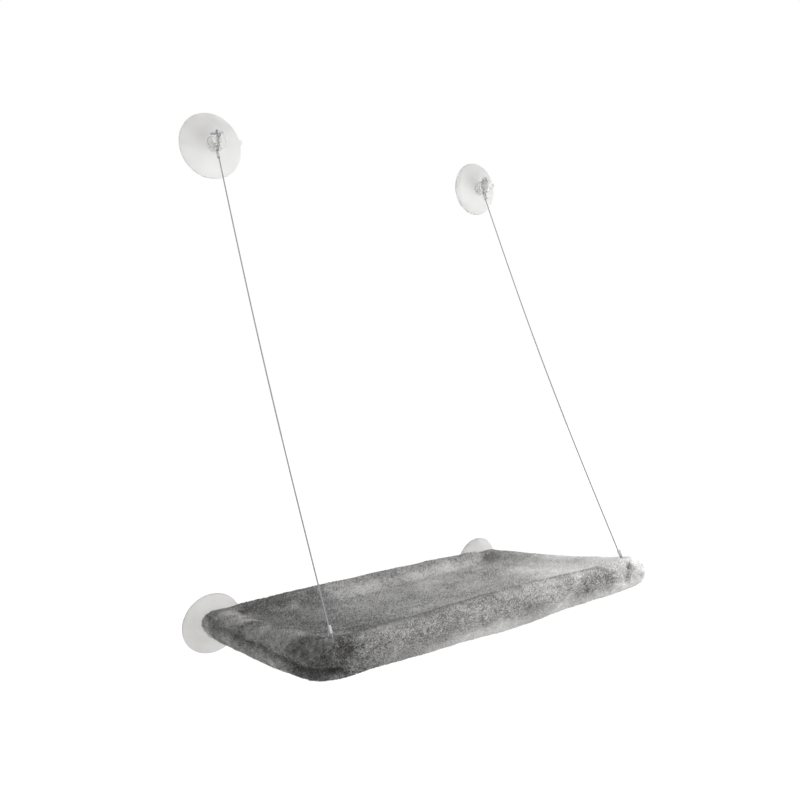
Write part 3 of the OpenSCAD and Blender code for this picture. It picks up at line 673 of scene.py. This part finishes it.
# Folds of the cover: the long crease down the left roll's outer face and round its corner, its
# fainter fellow on the right, the pinch at the right end, the seam round the lying sheet and the
# tucks where the cables go in.
bed = np.column_stack(bed_measures(points_of(cover)))
x, out, up = bed.T
left_fold = [(-272, 12, 19), (-278, 48, 15), (-278, 100, 11), (-279, 146, 6), (-279, 191, 5), (-280, 232, 2),
             (-281, 269, 0), (-280, 305, -4), (-270, 337, -7), (-252, 350, -9)]
right_fold = [(278, 60, 10), (280, 150, 4), (279, 240, 2)]
pinch = [(230, 349, 18), (222, 355, 8), (213, 356, -5)]
cable_in = np.array([245.1, 331.9, 19])
push = np.zeros(len(bed))
uneven = 0.75 + 0.55 * cloud(bed, 38.0, 6.6)
wander = 3 * np.column_stack([cloud(bed, 24.0, seed) for seed in (1.2, 3.4, 5.6)])
for line, depth, width in ((left_fold, 6.0 * uneven, 4.5), (right_fold, 2.5 * uneven, 5), (pinch, 4.0, 4)):
    far = line_off(bed + wander, line)
    push += depth * (0.35 * hump(far, 2.6 * width, 1.6 * width) - hump(far, 0, width))
seam_off = np.minimum(-edge_off(x, out), out) - 24
push -= 0.8 * hump(seam_off, 0, 4.5) * (up > 5 - sheet_sag(x, out))
for _, flip in SIDES:
    far = np.linalg.norm(bed - cable_in * flip, axis=1)
    push += 1.4 * hump(far, 10, 4) - 3.5 * hump(far, 0, 5)
at_zip = ease(-up, 12, 18) * ease(24 - np.abs(out), 0, 8)
calm = ease(cup_room(x, out, up), 1.5, 9) * (1 - at_zip)
push += calm * (1.4 * cloud(bed, (46, 38, 38), 2.7) + 0.6 * cloud(bed, (9, 9, 11), 7.3)
                + 0.5 * cloud(bed, (4.2, 4.2, 6), 1.9))
push *= MM * np.minimum(1, calm + 0.25)
set_points(cover, points_of(cover) + push[:, None] * points_of(cover, "normal"))


def brushed_and_lit(p):
    """How pale the pile looks, from 0 to 1: brushed patches, and painted light and shade: paler towards the
    right end, along the front's lower and upper edges, on the left crest and the left end, darker towards the
    left, on the rear-left top and the sheet, in the creases and at the front-left corner, and paler along the
    seam's valley.
    """
    x, out, up = p.T
    off = edge_off(x, out)
    left = ease(-x, 200, 240)
    fine = 0.12 * cloud(p, (15, 13, 10), 8.4) + 0.1 * cloud(p, (5.5, 5.0, 4.5), 3.3)
    pale = 0.43 + 0.2 * cloud(p, (52, 40, 34), 5.1) + (1 + 0.9 * left) * fine
    front = ease(off, -14, 2) * ease(out, 250, 300)
    # Painted light along the front: paler towards the lit right end and darker towards the left, with a pale
    # streak near x = 98 mm and two faint darker patches.
    run = (0.26 * ease(x, 178, 200) - 0.08 * ease(-x, 40, 200) + 0.16 * hump(x, 98 + 1.9 * up, 9)
           - 0.05 * hump(x, 40, 26) - 0.05 * hump(x, 155, 22))
    # Painted highlights: a pale rim along the front's lower edge and a paler band along its top.
    low = 0.45 * ease(-up, -2, 16) * ease(x, -225, -110) + 0.1 * ease(up, 12, 20)
    # Painted light and shade on the top: paler to the right, darker on the rear roll and the lying sheet to
    # the left, where shadow falls.
    top = (0.4 * ease(x, 130, 225) * ease(out, 60, 200) - 0.32 * ease(-x, 60, 200) * ease(20 - out, -10, 20)
           - 0.28 * ease(-x, 20, 160) * ease(-off, 16, 28) * ease(out, 8, 24))
    # Painted highlight along the left roll's crest, with a pale patch lower on its outer face.
    crest_highlight = (0.2 * hump(out, 75, 32) - 0.1 * ease(out, 105, 150)) * hump(off, -5, 9)
    crest_highlight += 0.2 * hump(out, 195, 20) * hump(off, 7, 7)
    crest_highlight *= ease(up, 4, 14) * left * ease(300 - out, 0, 60)
    # Painted light that lifts the shaded left end and the rear-left nose.
    flank_light = (0.05 * ease(-x, 255, 275) * ease(300 - out, 0, 30)
             + 0.24 * ease(-x, 215, 245) * ease(35 - out, 0, 30))
    # The front-left corner is darker: painted shade, together with pile brushed the other way.
    corner = 0.24 * ease(out, 270, 300) * ease(-x - 228 - 0.95 * (16 - up), -4, 8)
    # Painted shade in the creases of the left fold and the pinch.
    crease_shade = 0.22 * hump(line_off(p, left_fold), 0, 6) + 0.5 * hump(line_off(p, pinch), 0, 5)
    # Painted light in the seam's shaded valley: it is taken off the shade, so the valley comes out paler.
    seam = 0.08 * hump(np.minimum(-off, out), 25, 7) * (up > -4)
    shade = crease_shade - seam + corner
    return np.clip(pale + front * (run + low) + (1 - front) * (top + crest_highlight + flank_light) - shade, 0, 1)


# Short-pile plush: grey polyester, dark at the roots and pale at the tips, which glow at the edge. Its tone
# follows the brushed patches and the painted light and shade of the attribute.
bed = np.column_stack(bed_measures(points_of(cover)))
brushed_and_lit_layer = cover.data.attributes.new("brushed_and_lit", "FLOAT", "POINT")
brushed_and_lit_layer.data.foreach_set("value", brushed_and_lit(bed))
grey_plush = new_material("grey_plush", Roughness=0.95, Specular_IOR_Level=0.15, Sheen_Weight=0.5,
                          Sheen_Roughness=0.5)
pale = add(grey_plush, "Attribute", {}, attribute_name="brushed_and_lit").outputs["Fac"]
place = add(grey_plush, "TexCoord", {}).outputs["Object"]
fibre = add(grey_plush, "TexNoise",
            {"Vector": place, "Scale": 1 / (1.613 * MM), "Detail": 4.0, "Roughness": 0.65})
speckle = add(grey_plush, "MapRange", {"Value": fibre.outputs["Fac"], "From Min": 0.3, "From Max": 0.7,
                                       "To Min": -0.25, "To Max": 0.25})
level = add(grey_plush, "Math", {0: pale, 1: speckle.outputs[0]}, use_clamp=True)
tone = add(grey_plush, "Mix", {0: level.outputs[0], 6: "#525150", 7: "#e4e3e2"}, data_type="RGBA")
pile_bump = add(grey_plush, "Bump", {"Height": fibre.outputs["Fac"], "Strength": 0.8, "Distance": 1.5 * MM})
feed(grey_plush, Base_Color=tone.outputs[2], Normal=pile_bump.outputs[0])
cover.data.materials.append(grey_plush)
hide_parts("front_sleeve", "rear_sleeve", "left_sleeve", "right_sleeve", "left_fork_flap",
            "right_fork_flap", "lying_sheet")


def cross_hinge(piece):
    """Bakes the piece's place into its mesh."""
    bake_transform(piece)


cross_hinge(cover)

# Pile: locks of fibre that stand up from the cover and lean the way it was brushed. The fibres,
# 0.02 mm thick on the real cloth, are drawn as locks about 1 mm wide at the root.
chance = np.random.default_rng(11)
cover.data.calc_loop_triangles()
tris = np.array([t.vertices[:] for t in cover.data.loop_triangles])
points, normals = points_of(cover), points_of(cover, "normal")
corners = points[tris]
area = np.linalg.norm(np.cross(corners[:, 1] - corners[:, 0], corners[:, 2] - corners[:, 0]), axis=1)
x, out, up = bed_measures(corners.mean(1))
on_sheet = (edge_off(x, out) < -21) & (out > 21)
bare = (on_sheet & (normals[tris].mean(1)[:, 2] < 0)) | (cup_room(x, out, up) < 1.8)
bare |= (np.hypot(out, up) < 30) & (up < -6) & (np.abs(x) < 200)
# Plush fibre: one grey yarn whose tips lie paler or darker; each lock takes one of five tones, picked by the
# cover's brushed patches and painted light and shade, with random spread.
fibre_tones_and_shades = ("#464544", "#70706f", "#9a9998", "#c1c0bf", "#e8e7e6")
fibres = [new_material(f"plush_fibre_{i + 1}", Base_Color=to_linear(colour), Roughness=0.9,
                       Specular_IOR_Level=0.15, Sheen_Weight=0.5, Sheen_Roughness=0.45)
          for i, colour in enumerate(fibre_tones_and_shades)]
lock_count = 49000
in_front = out > 262
for name, zone, reach, mix in (("front_pile", ~on_sheet & ~bare & in_front, (2.1, 3.8), 0.11),
                               ("side_pile", ~on_sheet & ~bare & ~in_front, (2.3, 4.2), 0.17),
                               ("sheet_pile", on_sheet & ~bare, (1.8, 3.0), 0.09)):
    picked = tris[chance.choice(len(tris), lock_count, p=area * zone / (area * zone).sum())]
    share = chance.dirichlet((1, 1, 1), lock_count)[..., None]
    root, normal = (points[picked] * share).sum(1), unit((normals[picked] * share).sum(1))
    bed = np.column_stack(bed_measures(root))
    swirl = np.column_stack([cloud(bed, 60.0, seed) for seed in (0.4, 9.2)])
    lean = np.column_stack([0.6 + 0.7 * swirl[:, 0], 0.6 + 0.5 * swirl[:, 1], np.full(lock_count, -0.25)])
    lean += chance.normal(0, 0.4, (lock_count, 3))
    lean -= (lean * normal).sum(1)[:, None] * normal
    lean /= np.linalg.norm(lean, axis=1)[:, None] + 1e-6
    tilt = chance.uniform(0.9, 1.35, lock_count)[:, None]
    room = np.maximum(cup_room(*bed.T) - 1, 0.9)
    length = MM * np.minimum(chance.uniform(*reach, lock_count), room)[:, None]
    width = MM * chance.uniform(0.3, 0.52, lock_count)[:, None]
    side = np.cross(normal, lean)
    feet = [root - 0.4 * MM * normal + width * (cos(a) * lean + sin(a) * side)
            for a in np.radians((90, 210, 330))]
    tip = root + length * (np.cos(tilt) * normal + np.sin(tilt) * lean)
    lock_points = np.stack([*feet, tip], 1).reshape(-1, 3)
    lock_faces = 4 * np.arange(lock_count)[:, None, None] + [(0, 2, 1), (0, 1, 3), (1, 2, 3), (2, 0, 3)]
    pile = new_piece(name, lock_points, lock_faces.reshape(-1, 3), smooth=False)
    for fibre in fibres:
        pile.data.materials.append(fibre)
    # Each lock's tone follows the cover's painted light and shade, with random spread.
    shade = np.clip(5 * (brushed_and_lit(bed) + chance.normal(0, mix, lock_count)), 0, 4.99).astype(int)
    pile.data.polygons.foreach_set("material_index", np.repeat(shade, 4))
    cross_hinge(pile)

# Wadding pad: a thin sheet of polyester wadding, cut a little smaller than the hollow and laid
# loose between the plush and the base cloth, where it sags with them.


def closed_sheet(name, upper, lower):
    """A thin closed sheet between two grids of bed measures, which it keeps as an attribute."""
    nx, no = upper.shape[:2]
    number = np.arange(nx * no).reshape(nx, no)
    quad = np.stack([number[:-1, :-1], number[1:, :-1], number[1:, 1:], number[:-1, 1:]], -1).reshape(-1, 4)
    rim = np.concatenate([number[:-1, 0], number[-1, :-1], number[:0:-1, -1], number[0, :0:-1]])
    sides = np.column_stack([rim, rim + nx * no, np.roll(rim, -1) + nx * no, np.roll(rim, -1)])
    points = np.vstack([upper.reshape(-1, 3), lower.reshape(-1, 3)])
    piece = new_piece(name, bed_points(points), list(quad) + list(quad[:, ::-1] + nx * no) + list(sides))
    outwards(piece)
    piece.data.attributes.new("flat", "FLOAT_VECTOR", "POINT").data.foreach_set("vector", MM * points.ravel())
    return piece


def slab(name, half_x, outs, top, bottom, steps, bulge):
    """A soft sheet under the cover: top and bottom are functions of right and out."""
    xs = np.linspace(-half_x, half_x, steps[0])
    os = np.linspace(*outs, steps[1])
    x, out = np.meshgrid(xs, os, indexing="ij")
    edge = np.minimum(np.minimum(half_x - np.abs(x), out - outs[0]), outs[1] - out)
    mid, thick = (top(x, out) + bottom(x, out)) / 2, (top(x, out) - bottom(x, out)) / 2
    thick = thick * np.sqrt(1 - np.clip(1 - (edge + 0.1) / bulge, 0, 1) ** 2)
    return closed_sheet(name, np.stack([x, out, mid + thick], -1), np.stack([x, out, mid - thick], -1))


def lumps(x, out, size, height):
    flat = [noise.noise((a / size, b / size, 3.1)) for a, b in zip(np.ravel(x), np.ravel(out))]
    return height * np.reshape(flat, np.shape(x))


pad = slab("wadding_layer", 221, (36.5, 298.5),
           lambda x, out: 2.0 - sheet_sag(x, out) + lumps(x, out, 22, 0.3),
           lambda x, out: -2.0 - sheet_sag(x, out) + lumps(x, out, 17, 0.25), (112, 68), 2.2)
# Polyester wadding: white, matt and cloudy.
white_wadding = new_material("white_wadding", Roughness=0.95, Sheen_Weight=0.4, Sheen_Roughness=0.5)
mottled(white_wadding, "#cfcfcd", "#f4f4f2", grain=7.143 * MM, detail=5.0, dent=(0.6, 0.8 * MM))
pad.data.materials.append(white_wadding)
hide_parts("wadding_pad")
cross_hinge(pad)

# Base cloth: a woven polyester sheet that closes the bed from below, sewn to the rolls all round
# with one row of stitches, and pulled into faint ripples by its seam.


def base_low(x, out):
    ripple = 0.35 * np.sin(x / 9.0) * np.exp(-np.minimum(out - 22, 313 - out) / 14)
    ripple += 0.35 * np.sin(out / 8.0) * np.exp(-(236 - np.abs(x)) / 14)
    return -4.5 - sheet_sag(x, out) + ripple


base = slab("base_cloth_sheet", 235.6, (22.4, 312.6), lambda x, out: base_low(x, out) + 1.8, base_low,
            (190, 118), 1.0)
# Woven polyester: dark grey plain weave. The threads, 0.4 mm on the real cloth, are drawn 3 mm wide,
# so that two of them make 6 mm. A wave texture of scale 1 repeats every 2 pi / 20 m.
woven_polyester = new_material("woven_polyester", Roughness=0.8, Sheen_Weight=0.25, Sheen_Roughness=0.4)
place = add(woven_polyester, "Attribute", {}, attribute_name="flat").outputs["Vector"]
warp, weft = [add(woven_polyester, "TexWave",
                  {"Vector": place, "Scale": 2 * pi / 20 / (6 * MM), "Distortion": 0.4},
                  bands_direction=way).outputs["Fac"] for way in "XY"]
cross = add(woven_polyester, "Math", {0: warp, 1: weft}, operation="MULTIPLY")
tone = add(woven_polyester, "Mix", {0: cross.outputs[0], 6: "#494a4e", 7: "#58595d"}, data_type="RGBA")
weave = add(woven_polyester, "Bump", {"Height": cross.outputs[0], "Strength": 0.5, "Distance": 0.4 * MM})
feed(woven_polyester, Base_Color=tone.outputs[2], Normal=weave.outputs[0])
base.data.materials.append(woven_polyester)
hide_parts("base_cloth")
cross_hinge(base)

# Base seam: one row of lockstitches in polyester thread, 6 mm in from the base cloth's edge, which
# sews it to the rolls. The thread, 0.4 mm on the real seam, is drawn twice as thick to show.


def joined(name, shells):
    """One piece of several closed shells given in bed measures."""
    points, faces, total = [], [], 0
    for shell_points, shell_faces in shells:
        points.append(shell_points)
        faces += [tuple(total + k for k in f) for f in shell_faces]
        total += len(shell_points)
    piece = new_piece(name, bed_points(np.vstack(points)), faces)
    outwards(piece)
    return piece


stitches = []
inset_x, inset_outs, stitch_l = 229.5, (28.5, 306.5), 5
corners = [(s * inset_x, inset_outs[row]) for s, row in ((-1, 0), (1, 0), (1, 1), (-1, 1))]
thread_ring = 0.42 * np.array([(cos(a), sin(a)) for a in np.radians(np.arange(0, 360, 60))])
for (x0, o0), (x1, o1) in zip(corners, corners[1:] + corners[:1]):
    run = np.array([x1 - x0, o1 - o0])
    count = int(np.hypot(*run) // stitch_l)
    for i in range(count):
        t = (i + np.linspace(0.16, 0.84, 7)) / count
        x, out = x0 + t * run[0], o0 + t * run[1]
        up = base_low(x, out) - 0.2 + 0.45 * (2 * np.linspace(0, 1, 7) - 1) ** 4
        stitches.append(swept(np.column_stack([x, out, up]), lambda along: thread_ring))
seam = joined("base_seam", stitches)
# Sewing thread: grey polyester, twisted, with a dull shine.
sewing_thread = new_material("sewing_thread", Roughness=0.6, Sheen_Weight=0.3, Sheen_Roughness=0.4)
mottled(sewing_thread, "#6a6b6e", "#a2a3a6", grain=0.6667 * MM, detail=2.0)
seam.data.materials.append(sewing_thread)
cross_hinge(seam)

# Zip: a nylon coil zip along the underside of the rear roll, by which the cover is drawn off for
# washing. Its tape is woven and its teeth are bent from one thread on either side.
tape_half, tape_turn, rib_pitch = 190, 23, 4
turn = np.radians(np.linspace(-tape_turn, tape_turn, 15))
run, turn = np.meshgrid(np.linspace(-tape_half, tape_half, 191), turn, indexing="ij")
rib = 0.06 * np.sin(run * 2 * pi / rib_pitch) * (np.abs(turn) > 0.12)
tape = closed_sheet("zip_woven_tape", *[np.stack([run, r * np.sin(turn), -r * np.cos(turn)], -1)
                                        for r in (22.36 + 0 * rib, 22.98 + rib)])
# Zip tape: charcoal nylon in a herringbone weave, drawn 2 mm wide.
nylon_tape = new_material("nylon_tape", Roughness=0.7, Sheen_Weight=0.2, Sheen_Roughness=0.4)
place = add(nylon_tape, "TexCoord", {}).outputs["Object"]
herring = add(nylon_tape, "TexWave",
              {"Vector": place, "Scale": 2 * pi / 20 / (2 * MM), "Distortion": 1.5},
              bands_direction="DIAGONAL")
tone = add(nylon_tape, "Mix", {0: herring.outputs["Fac"], 6: "#2c2d30", 7: "#4a4b4f"}, data_type="RGBA")
weave = add(nylon_tape, "Bump", {"Height": herring.outputs["Fac"], "Strength": 0.4, "Distance": 0.3 * MM})
feed(nylon_tape, Base_Color=tone.outputs[2], Normal=weave.outputs[0])
fit(tape, nylon_tape, "zip_nylon", "bed", "zip_tape")

# Zip teeth: two rows of loops bent from stiff nylon thread and sewn to the tape, which lock into
# each other as the slider passes. They are 1.5 mm apart on the real zip and drawn 2.4 mm apart.
loop_ring = 0.6 * np.array([(cos(a), sin(a)) for a in np.radians(np.arange(0, 360, 45))])
tooth_pitch = 2.4
teeth = []
for i in range(155):
    x, s = -185 + tooth_pitch * i, 1 if i % 2 else -1
    route = [(x - 0.5, s * 2.2, -23.7), (x - 0.35, s * 1.5, -24.2), (x, -s * 0.2, -24.35),
             (x, -s * 1.2, -24.2), (x, -s * 1.6, -23.75)]
    teeth.append(swept(rounded_path(route, 0.45), lambda along: loop_ring))
coil = joined("zip_teeth", teeth)
# Zip nylon: smooth charcoal thread with a soft shine, a little uneven in tone.
coil_nylon = new_material("coil_nylon", Roughness=0.35, IOR=1.53)
mottled(coil_nylon, "#2a2b2e", "#46474b", grain=2.5 * MM, detail=2.0)
fit(coil, coil_nylon, "zip_nylon", "bed", "zip_coil")

# Zip stops: folded clips of plated zinc, pressed over both rows of teeth at either end so that the
# slider can't run off.


def pillow(at, half, square=0.35):
    """A rounded block in bed measures about a place, with its half sizes."""
    rows, steps = 15, 32
    rise = np.linspace(-pi / 2, pi / 2, rows + 2)[1:-1]
    a, b = np.meshgrid(rise, np.linspace(0, 2 * pi, steps, endpoint=False), indexing="ij")

    def bend(v):
        return np.sign(v) * np.abs(v) ** square

    rings = np.stack([bend(np.cos(a)) * bend(np.cos(b)), bend(np.cos(a)) * bend(np.sin(b)),
                      bend(np.sin(a))], -1)
    points = np.vstack([rings.reshape(-1, 3), [[0, 0, -1], [0, 0, 1]]]) * half + at
    k = np.arange(steps)
    pairs = list(zip(k, np.roll(k, -1)))
    low, last = rows * steps, (rows - 1) * steps
    return points, (ring_faces(rows, steps) + [(low, q, p) for p, q in pairs]
                    + [(low + 1, last + p, last + q) for p, q in pairs])


stop_x = 187.6
stops = joined("zip_end_clips", [pillow((s * stop_x, 0, -24.05), (1.4, 2.5, 0.88)) for s in (-1, 1)]
               + [pillow((s * stop_x, 0, -24.9), (0.35, 2.0, 0.12)) for s in (-1, 1)])
fit(stops, zinc_plate, "zip_metal", "bed", "zip_stops")

# Zip slider: a die-cast shoe that closes round the teeth, narrower at its tail, with a bridge for
# the puller. It is zinc-plated like the pins.
slider_x = -178.0
shoe = pillow((0, 0, -26.05), (7.0, 4.4, 0.8), 0.3)
shoe[0][:, 1] *= 1 - 0.16 * ease(-shoe[0][:, 0], -2, 7)
walls = [pillow((0, s * 3.7, -24.75), (6.7, 0.7, 1.3), 0.3) for s in (-1, 1)]
for wall in walls:
    wall[0][:, 1] *= 1 - 0.12 * ease(-wall[0][:, 0], -2, 7)
bridge_path = [(-4.8, 0, -26.5), (-4.8, 0, -28.2), (-4.5, 0, -29.1), (-3.6, 0, -29.6), (0, 0, -29.72),
               (3.6, 0, -29.6), (4.5, 0, -29.1), (4.8, 0, -28.2), (4.8, 0, -26.5)]
bridge_ring = [(0.5 * np.sign(cos(a)) * abs(cos(a)) ** 0.5, 1.2 * np.sign(sin(a)) * abs(sin(a)) ** 0.5)
               for a in np.radians(np.arange(0, 360, 22.5))]
bridge = swept(rounded_path(bridge_path, 0.5), lambda along: bridge_ring)
slider = joined("zip_shoe", [(points + [slider_x, 0, 0], faces) for points, faces in (shoe, *walls, bridge)])
fit(slider, zinc_plate, "zip_metal", "slider", "zip_slider")

# Zip puller: a die-cast tab of plated zinc with a finger hole, whose two arms hold the pin on which
# it swings under the slider's bridge.
steps, hole_r, hole_up, tab_half, tab_rise, pin_up = 72, 2.0, -19.5, 4.5, 13, -27.95
turn = np.linspace(0, 2 * pi, steps, endpoint=False)
tab_edge = np.minimum(tab_half / (np.abs(np.cos(turn)) + 1e-9), tab_rise / (np.sin(turn) + 1e-9))
tab_edge = np.where(np.sin(turn) <= 0, tab_half, tab_edge)
section = [(hole_r, 0.45, 0.8), (hole_r, 0, 0.45), (hole_r, 0, -0.45), (hole_r, 0.45, -0.8),
           (tab_edge, -0.5, -0.8), (tab_edge, 0, -0.4), (tab_edge, 0, 0.4), (tab_edge, -0.5, 0.8)]
tab = np.stack([np.column_stack([np.full(steps, x), (reach + grow) * np.cos(turn),
                                 hole_up + (reach + grow) * np.sin(turn)])
                for reach, grow, x in section], 1).reshape(-1, 3)
tab_faces = [tuple(k % len(tab) for k in face) for face in ring_faces(steps + 1, len(section))]
arms = [pillow((0, s * 3.15, -3.1), (0.8, 1.35, 3.7), 0.3) for s in (-1, 1)]
pin_points, pin_faces = lathe([(0, -4), (0.6, -4), (0.8, -3.8), (0.8, 3.8), (0.6, 4), (0, 4)], 24)
pin = (pin_points[:, [0, 2, 1]], pin_faces)
puller = joined("zip_tab", [(points + [slider_x, 0, pin_up], faces)
                            for points, faces in ((tab, tab_faces), *arms, pin)])
fit(puller, zinc_plate, "zip_metal", "puller", "zip_puller")

# Floor and light: a pale floor well below the bed, a white surround for the eye, for metal and for
# the clear pieces, and three soft lamps: a broad one in front on the right as in the photograph, a
# weak one on the left and a small one over the right end.
scene.view_settings.view_transform = "Standard"
world = bpy.data.worlds.new("studio")
scene.world = world
world.use_nodes = True
seen = add(world, "LightPath", {}).outputs
direct = add(world, "Math", {0: seen["Is Camera Ray"], 1: seen["Is Glossy Ray"]}, operation="MAXIMUM")
direct = add(world, "Math", {0: direct.outputs[0], 1: seen["Is Transmission Ray"]}, operation="MAXIMUM")
level = add(world, "MapRange", {"Value": direct.outputs[0], "To Min": 0.34, "To Max": 1.0})
world.node_tree.nodes["Background"].inputs["Color"].default_value = (1, 1, 1, 1)
world.node_tree.links.new(level.outputs[0], world.node_tree.nodes["Background"].inputs["Strength"])

for name, size, power, spread, place, aim in (
        ("key_softbox", 1.1, 24, 180, (1.15, -1.5, 0.75), (0.1, -0.2, 0.05)),
        ("fill_softbox", 1.0, 3.0, 180, (-1.5, -0.8, -0.1), (-0.2, -0.2, 0.05)),
        ("top_softbox", 0.4, 1.8, 110, (0.45, -0.45, 0.75), (0.12, -0.3, 0.08))):
    lamp_data = bpy.data.lights.new(name, "AREA")
    lamp_data.size = size
    lamp_data.energy = power
    lamp_data.spread = radians(spread)
    lamp = bpy.data.objects.new(name, lamp_data)
    lamp.location = place
    lamp.rotation_euler = (Vector(aim) - lamp.location).to_track_quat("-Z", "Y").to_euler()
    lamp.visible_camera = False
    lamp.visible_transmission = False
    lamp.visible_glossy = False
    scene.collection.objects.link(lamp)

floor_half, floor_z = 6.0, -0.6
floor = new_piece("studio_floor", [(x * floor_half, y * floor_half, floor_z)
                                   for x, y in ((-1, -1), (1, -1), (1, 1), (-1, 1))], [(0, 1, 2, 3)])
pale_floor = new_material("pale_floor", Base_Color=to_linear("#f2f2f2"), Roughness=0.9,
                          Emission_Color=(1, 1, 1, 1))
seen = add(pale_floor, "LightPath", {}).outputs
direct = add(pale_floor, "Math",
             {0: seen["Is Camera Ray"], 1: seen["Is Transmission Ray"]}, operation="MAXIMUM")
glow = add(pale_floor, "Math", {0: direct.outputs[0], 1: 0.75}, operation="MULTIPLY")
feed(pale_floor, Emission_Strength=glow.outputs[0])
floor.data.materials.append(pale_floor)
floor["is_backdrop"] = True

size = {"cad": cad_box, "visual": [list(corner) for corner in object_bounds()]}
